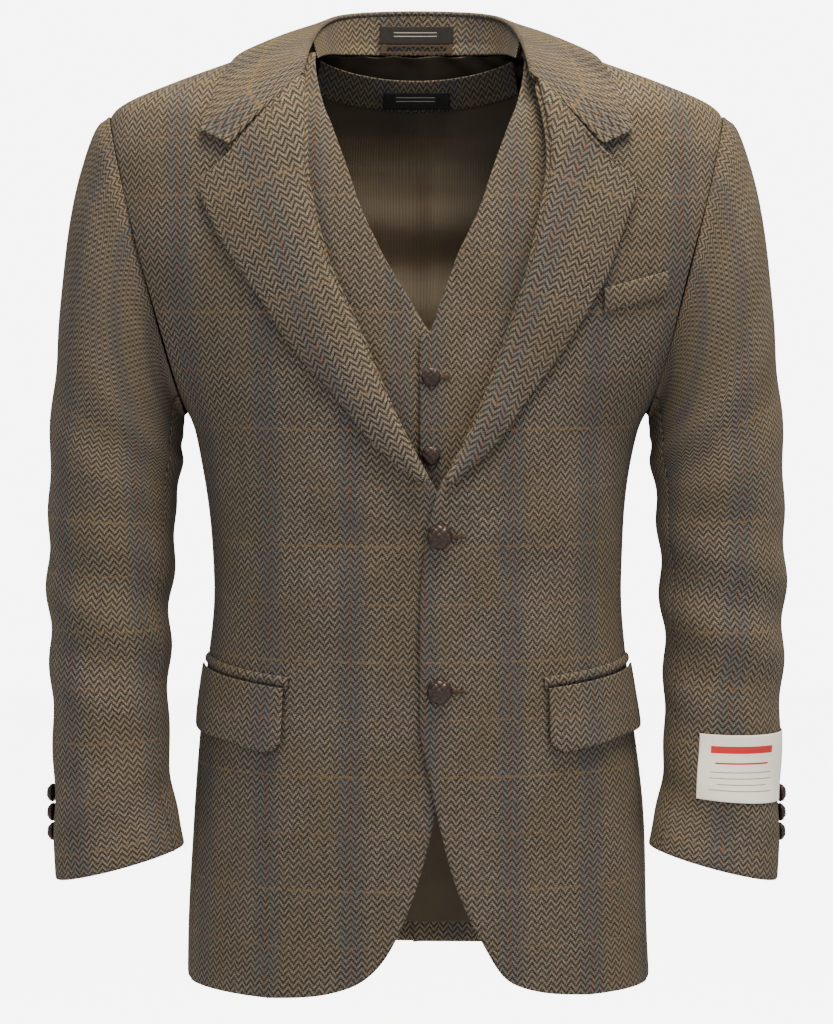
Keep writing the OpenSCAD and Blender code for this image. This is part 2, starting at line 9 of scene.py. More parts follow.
import bpy
import numpy as np
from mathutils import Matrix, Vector


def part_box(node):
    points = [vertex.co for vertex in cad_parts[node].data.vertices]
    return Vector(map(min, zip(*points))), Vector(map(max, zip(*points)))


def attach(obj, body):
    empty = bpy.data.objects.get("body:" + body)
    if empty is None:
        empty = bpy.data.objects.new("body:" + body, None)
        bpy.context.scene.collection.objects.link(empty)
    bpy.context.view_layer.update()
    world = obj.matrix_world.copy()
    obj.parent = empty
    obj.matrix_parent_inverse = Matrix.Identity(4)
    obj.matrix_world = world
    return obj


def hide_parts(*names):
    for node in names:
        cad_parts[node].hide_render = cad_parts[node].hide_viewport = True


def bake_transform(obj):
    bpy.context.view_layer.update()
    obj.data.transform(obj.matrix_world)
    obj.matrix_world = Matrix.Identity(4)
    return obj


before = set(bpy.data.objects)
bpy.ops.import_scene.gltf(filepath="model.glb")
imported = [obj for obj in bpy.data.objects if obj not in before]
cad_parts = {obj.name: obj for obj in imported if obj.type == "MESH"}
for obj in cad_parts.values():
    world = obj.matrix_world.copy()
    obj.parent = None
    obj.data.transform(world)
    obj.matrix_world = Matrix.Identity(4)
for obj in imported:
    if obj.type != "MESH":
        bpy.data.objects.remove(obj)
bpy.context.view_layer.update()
MM = 0.001
RIGHT, LEFT = -1, 1
SIDE_NAME = {RIGHT: "right", LEFT: "left"}


def box_mm(node):
    low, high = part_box(node)
    return np.array(low) / MM, np.array(high) / MM


# %% [markdown]
# ## The body's surface
# Driving sizes come from the frame's boxes. The surface is a rounded section whose half width and depths
# change with height, the same one that the panels were drawn on, but with smooth curves between its stations.

# %% Body surface
JACKET_LEN = -box_mm("front_left")[0][2]
HEM_W = box_mm("side_left")[1][0]
SHOULDER_W = box_mm("front_left")[1][0]
CHEST_W = SHOULDER_W - 68
WAIST_W = SHOULDER_W - 82
SHOULDER_DROP = 57
UNDERARM = 300
FRONT_D = 120
BACK_D = 118
ROUND = 2.3             # the power of the rounded section
TOP_BUTTON = 392        # how far below the nape the upper front button lies
BUTTON_LINE = 18        # and how far it lies from the middle
LAYER = dict(lining=-4.4, vest=-12.0, vest_lining=-14.6, band=-15.6)

HALF_W = [
    (-JACKET_LEN, HEM_W), (-640, HEM_W - 5), (-520, WAIST_W + 7), (-440, WAIST_W), (-400, WAIST_W + 1),
    (-313, CHEST_W), (-300, CHEST_W + 5.5), (-290, CHEST_W + 12), (-220, SHOULDER_W - 15),
    (-150, SHOULDER_W + 8), (-90, SHOULDER_W + 11), (-63, SHOULDER_W + 3), (-SHOULDER_DROP, SHOULDER_W - 0.6),
    (-49, SHOULDER_W - 9), (-30, 198), (-12, 148), (0, 115), (10, 86)]
FRONT_DEPTH = [
    (-JACKET_LEN, FRONT_D - 8), (-520, FRONT_D - 2), (-313, FRONT_D + 4), (-220, FRONT_D),
    (-150, FRONT_D - 4), (-90, FRONT_D - 15), (-57, FRONT_D - 27), (-39, FRONT_D - 40),
    (-20, FRONT_D - 57), (0, FRONT_D - 75), (10, FRONT_D - 90)]
BACK_DEPTH = [
    (-JACKET_LEN, BACK_D + 4), (-640, BACK_D), (-520, BACK_D - 15), (-400, BACK_D - 22), (-313, BACK_D - 6),
    (-200, BACK_D + 5), (-90, BACK_D - 4), (-57, BACK_D - 14), (-39, BACK_D - 20), (-20, BACK_D - 30),
    (0, BACK_D - 42), (10, BACK_D - 62)]


def smooth(x, stations):
    """A smooth curve through the stations that never overshoots between two of them."""
    xs, ys = np.array(sorted(stations), dtype=float).T
    step = np.diff(xs)
    slope = np.diff(ys) / step
    tangent = np.zeros_like(ys)
    same = slope[:-1] * slope[1:] > 0
    tangent[1:-1][same] = 2 * slope[:-1][same] * slope[1:][same] / (slope[:-1][same] + slope[1:][same])
    tangent[0], tangent[-1] = slope[0], slope[-1]
    x = np.clip(np.asarray(x, dtype=float), xs[0], xs[-1])
    i = np.clip(np.searchsorted(xs, x, side="right") - 1, 0, len(step) - 1)
    t = (x - xs[i]) / step[i]
    return (ys[i] * (2 * t**3 - 3 * t**2 + 1) + ys[i + 1] * (3 * t**2 - 2 * t**3)
            + step[i] * (tangent[i] * (t**3 - 2 * t**2 + t) + tangent[i + 1] * (t**3 - t**2)))


def power(v):
    return np.sign(v) * np.abs(v) ** (2 / ROUND)


def body_pt(s, z, a, off):
    """The body's surface in millimetres: side s, height z, angle a (0 side, 90 front), moved out by off."""
    z, a, off = np.broadcast_arrays(*(np.asarray(v, dtype=float) for v in (z, a, off)))
    wide = smooth(z, HALF_W) + off
    deep = np.where(a < 0, smooth(z, BACK_DEPTH), smooth(z, FRONT_DEPTH)) + off
    rad = np.radians(a)
    rise = np.interp(z, [-110, -60, -40], [0, 0.5, 0.9])
    return np.stack([s * wide * power(np.cos(rad)), -deep * power(np.sin(rad)), z + off * rise], axis=-1)


def angle_at(z, x):
    share = np.clip(np.abs(x) / smooth(z, HALF_W), 0, 1)
    return np.degrees(np.arccos(np.sign(x) * share ** (ROUND / 2)))


def arc(z, a, front=True):
    """Length along the surface from the middle of the front (or back) round to angle a."""
    out = np.zeros(np.shape(a))
    turns = np.linspace(0, 180, 121)
    for k in np.ndindex(out.shape[0]):
        pts = body_pt(1, np.full(121, z[k][0]), 90 - turns if front else -90 + turns, 0)
        run = np.concatenate([[0], np.cumsum(np.linalg.norm(np.diff(pts[:, :2], axis=0), axis=1))])
        turned = 90 - a[k] if front else a[k] + 90
        out[k] = np.where(turned < 0, -np.interp(-turned, turns, run), np.interp(turned, turns, run))
    return out


def arm_x(z):
    return SHOULDER_W - 61 / 243 * (-z - SHOULDER_DROP) - 0.2


def seam_angle(z, low):
    arm = np.where(z < -UNDERARM, 0, angle_at(z, arm_x(z)))
    return np.maximum(0.02, np.maximum(arm, np.interp(z, *zip(*low))))


def side_front(z):
    return seam_angle(z, [(-345, 14), (-296, 5), (-295, 0)])


def side_back(z):
    return seam_angle(z, [(-345, 25), (-296, 8), (-295, 0)])


def folds(s, z, a):
    """Soft folds of the hanging cloth: shallow flutes in the skirt and pulls towards the closed button."""
    x = s * smooth(z, HALF_W) * power(np.cos(np.radians(a)))
    skirt = np.clip((-z - 430) / 330, 0, 1)
    flute = 2.2 * skirt * np.sin(x / 27 + 0.9 * s) * np.sin(np.radians(a) * 1.3 + 0.4)
    d = np.hypot(x - BUTTON_LINE, (z + TOP_BUTTON) * 0.8)
    ray = np.arctan2(z + TOP_BUTTON, x - BUTTON_LINE)
    pull = 1.1 * np.exp(-((d - 80) / 60) ** 2) * np.sin(7 * ray + 1.2)
    chest = 1.4 * np.sin(x / 41 + z / 67) * np.sin(z / 53 + 0.8) * np.clip((-z - 60) / 100, 0, 1)
    return flute + pull + chest


print("surface built on half widths", round(CHEST_W), round(WAIST_W), round(HEM_W))

# %% [markdown]
# ## Cloth
# A piece of cloth is a grid of points on the surface, given its weave's directions in a UV map measured in
# metres, then thickened and smoothed once so that its cut edges look folded.

# %% Cloth maker
def grid_faces(rows, cols):
    return [(i * cols + j, i * cols + j + 1, (i + 1) * cols + j + 1, (i + 1) * cols + j)
            for i in range(rows - 1) for j in range(cols - 1)]


def select_only(piece):
    bpy.ops.object.select_all(action="DESELECT")
    piece.select_set(True)
    bpy.context.view_layer.objects.active = piece


def cloth(name, pts, uv, thick, material, body="root", nodes=(), outward=None, bend=None):
    """A sheet from a grid of points in mm. outward gives the side that its face looks to, from the points.

    bend, when given, leaves the sheet where it is drawn, attached to no body; its start and end are not used."""
    rows, cols = pts.shape[:2]
    faces = grid_faces(rows, cols)
    flat = pts.reshape(-1, 3)
    seen = outward(flat) if outward is not None else flat * [1, 1, 0]
    i = np.array(faces)
    normal = np.cross(flat[i[:, 1]] - flat[i[:, 0]], flat[i[:, 3]] - flat[i[:, 0]])
    if (normal * seen[i[:, 0]]).sum() < 0:
        faces = [f[::-1] for f in faces]
    mesh = bpy.data.meshes.new(name)
    mesh.from_pydata([tuple(p) for p in flat * MM], [], faces)
    layer = mesh.uv_layers.new(name="weave")
    uv_flat = uv.reshape(-1, 2) * MM
    for loop in mesh.loops:
        layer.data[loop.index].uv = uv_flat[loop.vertex_index]
    piece = bpy.data.objects.new(name, mesh)
    bpy.context.collection.objects.link(piece)
    select_only(piece)
    solid = piece.modifiers.new("thickness", "SOLIDIFY")
    solid.thickness = thick * MM
    solid.offset = -1
    bpy.ops.object.modifier_apply(modifier=solid.name)
    corners = [0, cols - 1, (rows - 1) * cols, rows * cols - 1]
    crease = piece.data.attributes.new("crease_vert", "FLOAT", "POINT")
    for corner in corners:
        crease.data[corner].value = crease.data[corner + rows * cols].value = 1.0
    sub = piece.modifiers.new("soft_edge", "SUBSURF")
    sub.levels = 1
    bpy.ops.object.modifier_apply(modifier=sub.name)
    bpy.ops.object.shade_smooth()
    mesh = piece.data
    mesh.materials.append(material)
    if nodes:
        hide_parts(*nodes)
    if bend:
        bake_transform(piece)
    else:
        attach(piece, body)


# %% [markdown]
# ## Materials
# Shader maths is written with one small wrapper around a node socket.

# %% Material tools
class Value:
    """A node socket that can be used in sums."""

    def __init__(self, tree, socket):
        self.tree = tree
        self.socket = socket

    def node(self, kind, *inputs, out=0, **settings):
        made = self.tree.nodes.new(kind)
        for key, value in settings.items():
            setattr(made, key, value)
        for slot, value in enumerate(inputs):
            if isinstance(value, Value):
                self.tree.links.new(value.socket, made.inputs[slot])
            elif value is not None:
                made.inputs[slot].default_value = value
        return Value(self.tree, made.outputs[out])

    def math(self, operation, *others):
        return self.node("ShaderNodeMath", self, *others, operation=operation)

    def __add__(self, other):
        return self.math("ADD", other)

    def __radd__(self, other):
        return self.math("ADD", other)

    def __sub__(self, other):
        return self.math("SUBTRACT", other)

    def __rsub__(self, other):
        return self.math("MULTIPLY", -1.0).math("ADD", other)

    def __mul__(self, other):
        return self.math("MULTIPLY", other)

    def __truediv__(self, other):
        return self.math("DIVIDE", other)

    def below(self, limit):
        return self.math("LESS_THAN", limit)

    def ease(self, low, high):
        return self.node("ShaderNodeMapRange", self, low, high, 0.0, 1.0,
                         interpolation_type="SMOOTHSTEP")

    def mix(self, one, two):
        made = self.tree.nodes.new("ShaderNodeMix")
        made.data_type = "RGBA"
        self.tree.links.new(self.socket, made.inputs[0])
        for slot, value in ((6, one), (7, two)):
            if isinstance(value, Value):
                self.tree.links.new(value.socket, made.inputs[slot])
            else:
                made.inputs[slot].default_value = (*value, 1)
        return Value(self.tree, made.outputs[2])


def new_material(name, **shader_values):
    material = bpy.data.materials.new(name)
    material.use_nodes = True
    tree = material.node_tree
    shader = tree.nodes["Principled BSDF"]
    for key, value in shader_values.items():
        shader.inputs[key.replace("_", " ")].default_value = value
    return material, tree, shader


def coordinates(tree, name):
    source = tree.nodes.new("ShaderNodeTexCoord")
    vector = Value(tree, source.outputs[name])
    split = tree.nodes.new("ShaderNodeSeparateXYZ")
    tree.links.new(vector.socket, split.inputs[0])
    return vector, [Value(tree, split.outputs[k]) for k in range(3)]


def noise(vector, scale, detail=2.0, rough=0.5):
    return vector.node("ShaderNodeTexNoise", vector, None, scale, detail, rough)


def finish_bump(tree, shader, height, distance):
    bump = tree.nodes.new("ShaderNodeBump")
    bump.inputs["Strength"].default_value = 1.0
    bump.inputs["Distance"].default_value = distance
    tree.links.new(height.socket, bump.inputs["Height"])
    tree.links.new(bump.outputs["Normal"], shader.inputs["Normal"])


# %% Tweed
ENDS = 1.04e-3      # width of a warp yarn
PICKS = 1.33e-3     # height of a weft yarn
CHECK_W = 0.070     # overcheck spacing, across and down
CHECK_H = 0.092
FAWN, BROWN, OLIVE = (0.205, 0.178, 0.150), (0.094, 0.083, 0.077), (0.125, 0.102, 0.058)
SLATE, RUST, OCHRE = (0.078, 0.088, 0.116), (0.190, 0.072, 0.032), (0.190, 0.118, 0.048)
BLACK, DEEP_BROWN, SHADE = (0.009, 0.009, 0.011), (0.021, 0.019, 0.020), (0.022, 0.021, 0.022)


def tweed(name):
    """A herringbone of four-end columns: flecked fawn warp on a brown-black weft, with coloured lines."""
    material, tree, shader = new_material(name, Roughness=0.95, Sheen_Weight=0.04, Sheen_Roughness=0.6)
    shader.inputs["Specular IOR Level"].default_value = 0.05
    shader.inputs["Sheen Tint"].default_value = (1.0, 0.86, 0.66, 1)
    vector, (u, v, _) = coordinates(tree, "UV")
    wobble = noise(vector, 700.0, 2.0) - 0.5
    across, down = (u + wobble * 0.0010) / ENDS, (v + wobble * 0.0012) / PICKS
    end, pick = across.math("FLOOR"), down.math("FLOOR")
    turn = (end / 4.0).math("FLOOR").math("FLOORED_MODULO", 2.0) * 2.0 - 1.0
    warp_up = (pick + end * turn).math("FLOORED_MODULO", 4.0).below(1.5)
    grain = noise(vector, 1500.0, 2.0, 0.7).ease(0.3, 0.7)
    fleck = noise(vector, 380.0, 3.0, 0.7).ease(0.35, 0.68)
    cloud = noise(vector, 42.0, 4.0, 0.65).ease(0.32, 0.68)
    drift = noise(vector, 15.0, 2.0, 0.5).ease(0.35, 0.65)
    line_u = ((u + CHECK_W / 2).math("FLOORED_MODULO", CHECK_W) - CHECK_W / 2).math("ABSOLUTE")
    line_v = ((v + CHECK_H / 2).math("FLOORED_MODULO", CHECK_H) - CHECK_H / 2).math("ABSOLUTE")
    half_v = (v.math("FLOORED_MODULO", CHECK_H) - CHECK_H / 2).math("ABSOLUTE")
    broken = noise(vector, 240.0, 2.0).ease(0.38, 0.6)
    blue = (1.0 - line_u.ease(0.003, 0.017)) * (0.35 + cloud * 0.4)
    warp = fleck.mix(FAWN, BROWN)
    warp = (drift * 0.45).mix(warp, OLIVE)
    warp = blue.mix(warp, SLATE)
    warp = (line_u.below(0.0009) * broken * 0.75).mix(warp, RUST)
    warp = (line_v.below(0.0010) * broken * 0.4).mix(warp, OCHRE)
    weft = cloud.mix(BLACK, DEEP_BROWN)
    weft = (fleck * 0.3).mix(weft, OLIVE)
    weft = (half_v.below(0.0008) * broken * 0.5).mix(weft, RUST)
    weft = (line_v.below(0.0010) * broken * 0.5).mix(weft, OCHRE)
    yarn = warp_up.mix(weft, warp)
    colour = (grain * 0.5).mix(yarn, SHADE)
    tree.links.new(colour.socket, shader.inputs["Base Color"])
    yarn_u = across.math("FRACT") - 0.5
    yarn_v = down.math("FRACT") - 0.5
    round_u = 1.0 - yarn_u * yarn_u * 3.0
    round_v = 1.0 - yarn_v * yarn_v * 3.0
    height = warp_up * (round_u + 0.25) + (1.0 - warp_up) * round_v + noise(vector, 2600.0, 2.0) * 0.8
    finish_bump(tree, shader, height, 0.00025)
    return material


# %% Linings, leather, labels
def satin(name, colour, pale):
    material, tree, shader = new_material(name, Roughness=0.42, Anisotropic=0.35)
    shader.inputs["Specular IOR Level"].default_value = 0.3
    vector, (u, v, _) = coordinates(tree, "UV")
    cloud = noise(vector, 14.0, 3.0).ease(0.3, 0.75)
    tree.links.new(cloud.mix(colour, pale).socket, shader.inputs["Base Color"])
    rib = (v * (2 * math.pi / 0.0006)).math("SINE") + (u * (2 * math.pi / 0.0009)).math("SINE") * 0.5
    finish_bump(tree, shader, rib + noise(vector, 160.0, 3.0) * 2.0, 0.00006)
    return material


def leather(name):
    """Oxblood leather, with painted shade making it near black in the grooves where the straps cross, and
    pale where the straps are rubbed.
    """
    material, tree, shader = new_material(name, Roughness=0.42, Coat_Weight=0.15, Coat_Roughness=0.2)
    shader.inputs["Specular IOR Level"].default_value = 0.3
    vector, _ = coordinates(tree, "Object")
    grain = noise(vector, 900.0, 4.0, 0.65)
    worn = noise(vector, 260.0, 3.0, 0.6).ease(0.45, 0.75)
    # Painted shade: the grooves between the straps, found by their low pointiness, are painted near black
    # instead of the leather's colour.
    groove_shade_geometry = tree.nodes.new("ShaderNodeNewGeometry")
    edge = Value(tree, groove_shade_geometry.outputs["Pointiness"]).ease(0.46, 0.58)
    base = worn.mix((0.022, 0.007, 0.007), (0.048, 0.014, 0.012))
    base = edge.mix((0.005, 0.002, 0.002), base)
    tree.links.new(base.socket, shader.inputs["Base Color"])
    tree.links.new((0.34 + grain * 0.2).socket, shader.inputs["Roughness"])
    finish_bump(tree, shader, grain, 0.00012)
    return material


def plain_weave(name, colour, pale, bars=()):
    """A label's close weave with plain bars across it. A bar is its v range, its u range and its colour."""
    material, tree, shader = new_material(name, Roughness=0.8)
    shader.inputs["Specular IOR Level"].default_value = 0.1
    vector, (u, v, _) = coordinates(tree, "UV")
    cloth_colour = noise(vector, 300.0, 2.0).mix(colour, pale)
    for low, high, left, right, tint in bars:
        inside = (v.below(high) * (1.0 - v.below(low))) * (u.below(right) * (1.0 - u.below(left)))
        cloth_colour = inside.mix(cloth_colour, tint)
    tree.links.new(cloth_colour.socket, shader.inputs["Base Color"])
    rib = (v * (2 * math.pi / 0.0005)).math("SINE") + (u * (2 * math.pi / 0.0005)).math("SINE")
    finish_bump(tree, shader, rib, 0.00005)
    return material


def metal(name):
    material, tree, shader = new_material(name, Metallic=1.0, Roughness=0.35)
    vector, _ = coordinates(tree, "Object")
    brushed = noise(vector, 500.0, 4.0)
    tree.links.new(brushed.mix((0.30, 0.28, 0.25), (0.55, 0.53, 0.5)).socket, shader.inputs["Base Color"])
    return material


TWEED = tweed("tweed")
THREAD = plain_weave("thread", (0.03, 0.02, 0.018), (0.06, 0.045, 0.035))
SATIN = satin("satin", (0.020, 0.014, 0.009), (0.034, 0.024, 0.015))
SATIN_LIGHT = satin("satin_light", (0.026, 0.018, 0.011), (0.048, 0.035, 0.021))
LEATHER = leather("leather")
WADDING = plain_weave("wadding", (0.5, 0.48, 0.44), (0.65, 0.63, 0.58))
STEEL = metal("steel")
GREY_INK, RED_INK = (0.25, 0.24, 0.24), (0.45, 0.03, 0.035)
DARK_LABEL = plain_weave("dark_label", (0.012, 0.012, 0.014), (0.025, 0.025, 0.028),
                         [(0.0065, 0.0072, 0.012, 0.048, (0.3, 0.3, 0.3)),
                          (0.0095, 0.0102, 0.012, 0.048, (0.3, 0.3, 0.3))])
WHITE_LABEL = plain_weave("white_label", (0.70, 0.68, 0.66), (0.80, 0.78, 0.76),
                          [(0.040, 0.046, 0.010, 0.066, RED_INK), (0.031, 0.0325, 0.014, 0.062, RED_INK),
                           (0.024, 0.0248, 0.010, 0.066, GREY_INK), (0.019, 0.0198, 0.010, 0.066, GREY_INK),
                           (0.014, 0.0148, 0.016, 0.060, GREY_INK), (0.009, 0.0098, 0.010, 0.066, GREY_INK)])
print("materials:", len(bpy.data.materials))

# %% [markdown]
# ## The jacket's body
# Fronts stop at the roll line, the lapped edge and the cutaway curve. The wearer's right front dips under
# the left one.

# %% Fronts, sides and backs
CUTAWAY = 150
ROLL_END = -356         # where the roll line ends and the lapped edge begins
ROLL = {
    RIGHT: [(ROLL_END, -16), (-300, 13), (-221, 47), (-170, 70), (-93, 85), (0, 85), (10, 80)],
    LEFT: [(ROLL_END, 16), (-300, 45), (-221, 74), (-170, 89), (-93, 102), (-30, 92), (0, 85), (10, 80)]}
CURVE = {
    RIGHT: [(0, 118), (0.02, 80), (0.1, 44), (0.27, 21), (0.66, -3), (1, -16)],
    LEFT: [(0, 140), (0.02, 108), (0.1, 74), (0.27, 56), (0.66, 29), (1, 16)]}
TOP_OF_CURVE = CUTAWAY - JACKET_LEN
LAP = {
    RIGHT: [(TOP_OF_CURVE, -16), (-560, -34), (-400, -34), (ROLL_END, -16)],
    LEFT: [(TOP_OF_CURVE, 16), (-590, 11), (-540, 2), (-460, 2), (-400, 6), (ROLL_END, 16)]}
CURVE_ROOM = 60         # the last stretch above the hem, where the cutaway turns fastest
NECK = [(-45, 0), (-38, 92), (-20, 104), (0, 116)]      # the neckline, which lies under the collar
UV_SHIFT = {RIGHT: -18, LEFT: -6}


def edge_x(s, z):
    curve = smooth((z + JACKET_LEN) / CUTAWAY, CURVE[s])
    return np.where(z > ROLL_END, smooth(z, ROLL[s]), np.where(z < TOP_OF_CURVE, curve, smooth(z, LAP[s])))


def tuck(s, z, a):
    """The wearer's right front dips inwards where it lies under the left one."""
    if s == LEFT:
        return 0 * z
    x = smooth(z, HALF_W) * power(np.cos(np.radians(a)))
    return -3.6 * np.interp(x, [-10, 2, 34], [1, 1, 0]) * np.interp(z, [-370, -330], [1, 0])


def weave_uv(s, z, a, shift, front=True):
    return np.stack([s * arc(z, a, front) + shift, z + 32], axis=-1)


def spread(lo, hi, count, rows):
    """Angles from lo to hi in each row, and each point's height."""
    share = np.linspace(0, 1, count)[None, :]
    return lo[:, None] + (hi - lo)[:, None] * share, np.repeat(rows[:, None], count, 1)


def top_rows(top, bottom, count):
    return top + (bottom - top) * np.linspace(0, 1, count)


def front(s):
    curve_rows = -JACKET_LEN + CURVE_ROOM * (1 - np.sin(np.linspace(0, math.pi / 2, 14)))
    rows = np.concatenate([top_rows(8, -60, 16), top_rows(-66, CURVE_ROOM + 6 - JACKET_LEN, 84), curve_rows])
    lo = side_front(rows)
    stop = np.maximum(edge_x(s, rows), np.where(rows > -45, np.interp(rows, *zip(*NECK)), -100))
    hi = np.maximum(lo + 0.6, angle_at(rows, stop))
    a, z = spread(lo, hi, 46, rows)
    pts = body_pt(s, z, a, folds(s, z, a) + tuck(s, z, a))
    cloth(f"front_{SIDE_NAME[s]}_cloth", pts, weave_uv(s, z, a, UV_SHIFT[s]), 2.2, TWEED,
          nodes=[f"front_{SIDE_NAME[s]}"])


def side(s):
    rows = top_rows(-1 - UNDERARM, -JACKET_LEN, 60)
    a, z = spread(-side_back(rows) + 0.1, side_front(rows) - 0.1, 14, rows)
    cloth(f"side_{SIDE_NAME[s]}_cloth", body_pt(s, z, a, folds(s, z, a)), weave_uv(s, z, a, UV_SHIFT[s] + 9),
          2.2, TWEED, nodes=[f"side_{SIDE_NAME[s]}"])


def back(s):
    rows = np.concatenate([top_rows(8, -60, 16), top_rows(-66, -JACKET_LEN, 84)])
    hi = -side_back(rows)
    under = 0.5 if s == LEFT else 0         # the left half runs on under the right one at the centre seam
    lo = np.minimum(hi - 0.6, -angle_at(rows, np.interp(rows, [-8, 0, 8], [0, 55, 82])) - under)
    a, z = spread(lo, hi, 40, rows)
    seam_dip = -1.2 * np.exp(-((a + 90) / 0.9) ** 2) - under * (a < -90)
    cloth(f"back_{SIDE_NAME[s]}_cloth", body_pt(s, z, a, folds(s, z, a) * 0.8 + seam_dip),
          weave_uv(s, z, a, 35, front=False), 2.2, TWEED, nodes=[f"back_{SIDE_NAME[s]}"])


for s in (RIGHT, LEFT):
    front(s)
    side(s)
    back(s)
print("jacket body panels made")

# %% Lapels
LAPEL_EDGE = {
    RIGHT: [(143, -90), (170, -113), (155, -153), (131, -191), (115, -215), (99, -240), (61, -284),
            (29, -324), (-5, -350)],
    LEFT: [(143, -90), (172, -113), (160, -155), (148, -187), (133, -214), (117, -240), (88, -281),
           (56, -324), (26, -352)]}
LAPEL_LEAN = 19         # degrees by which the weave leans on the lapel
ROLL_ROWS = [-34, -58, -95, -135, -170, -200, -250, -300, -346]


def through(points, t):
    """A smooth line through points, at shares t of its stations."""
    at = np.arange(len(points))
    return np.stack([smooth(t, list(zip(at, column))) for column in np.array(points, dtype=float).T], axis=-1)


def front_pt(s, x, z, off):
    return body_pt(s, z, angle_at(z, s * x), off)


def lapel(s):
    top = np.linspace(0, 1, 12)[:-1]
    t = np.concatenate([np.zeros(5), top, np.linspace(1, 8, 70)])
    under = np.concatenate([[9, 6.5, 4, 2.5, 1], np.zeros(len(t) - 5)])[:, None]
    edge = through(LAPEL_EDGE[s], t)
    line = top[:, None] * (np.array(LAPEL_EDGE[s][1]) - LAPEL_EDGE[s][0]) + LAPEL_EDGE[s][0]
    edge[5:5 + len(top)] = line
    roll_z = smooth(t, list(enumerate(ROLL_ROWS)))
    roll = np.stack([smooth(roll_z, ROLL[s]) + 1, roll_z], axis=-1)
    share = np.linspace(0, 1, 26)[None, :, None]
    flat = edge[:, None] * (1 - share) + roll[:, None] * share
    w = np.linspace(0, 1, 26)[None, :]
    fade = np.clip((8 - t) / 1.5, 0.15, 1)[:, None]
    swell = np.clip(t / 2.5, 0.1, 1)[:, None]
    lift = 2.4 * np.sin(np.radians(30 + 150 * w)) + 8.0 * swell * fade * w * (1 - w) + 1.0
    lift = lift * np.clip(1 - under / 3, 0, 1)
    z = flat[..., 1] + under * 0.7
    x = s * (flat[..., 0] + under * 0.7)
    a = angle_at(z, s * x)
    pts = body_pt(s, z, a, lift + 3.0 + folds(s, z, a))
    roll_in = np.clip((w - 0.9) / 0.1, 0, 1) ** 2
    pts[..., 1] += 3.4 * roll_in
    lean = math.radians(LAPEL_LEAN)
    u0, v0 = s * x - 90, z + 200
    uv = np.stack([u0 * math.cos(lean) - v0 * math.sin(lean),
                   u0 * math.sin(lean) + v0 * math.cos(lean)], axis=-1)
    cloth(f"lapel_{SIDE_NAME[s]}_cloth", pts, uv, 2.6, TWEED, nodes=[f"lapel_{SIDE_NAME[s]}"],
          outward=lambda p: p * 0 + [0, -1, 0])


for s in (RIGHT, LEFT):
    lapel(s)

# %% Collar
COLLAR_H = box_mm("collar_leaf")[1][2] - 8
FOLD = [(0, 74, COLLAR_H), (35, 72, COLLAR_H - 1), (62, 56, COLLAR_H - 5), (76, 28, COLLAR_H - 13),
        (84, -4, COLLAR_H - 26), (89, -32, -14), (91, -49, -29)]
COLLAR_OUT = 5.6
COLLAR_COLS = 97
LEAF_EDGE = [(0, BACK_D - 24, -9), (45, BACK_D - 26, -10), (92, BACK_D - 48, -6), (118, 22, 2)] + [
    tuple(front_pt(LEFT, x, z, COLLAR_OUT)) for x, z in ((139, -16), (167, -75), (143, -86))]
STAND_FOOT = [(0, BACK_D - 46, -2), (33, BACK_D - 49, -2), (60, 50, -3), (72, 24, -5), (80, -6, -10)]
ROLL_R = 2.2            # radius of the roll over the fold
LEAF_OUT = [(0, 0, 0.85, 0.5), (1, 0.15, 0.8, 0.55), (2, 0.45, 0.5, 0.75), (3, 0.35, 0, 0.93),
            (4, 0.45, -0.45, 0.75), (5, 0.45, -0.65, 0.6), (6, 0.45, -0.7, 0.5)]


def mirrored(points):
    return [(-x, y, z) for x, y, z in points[:0:-1]] + list(points)


def ring_through(points):
    """Points spread along the whole collar from the right end to the left, with each one's station number."""
    ks = np.linspace(0, 2 * (len(points) - 1), COLLAR_COLS)
    return through(mirrored(points), ks), ks - (len(points) - 1)


def leaf_out(k):
    """The way the leaf faces at station k. Negative stations are on the right."""
    stations, *ways = zip(*LEAF_OUT)
    x, y, z = (np.interp(np.abs(k), stations, way) for way in ways)
    out = np.stack([x * np.sign(k), y, z], axis=-1)
    return out / np.linalg.norm(out, axis=-1, keepdims=True)


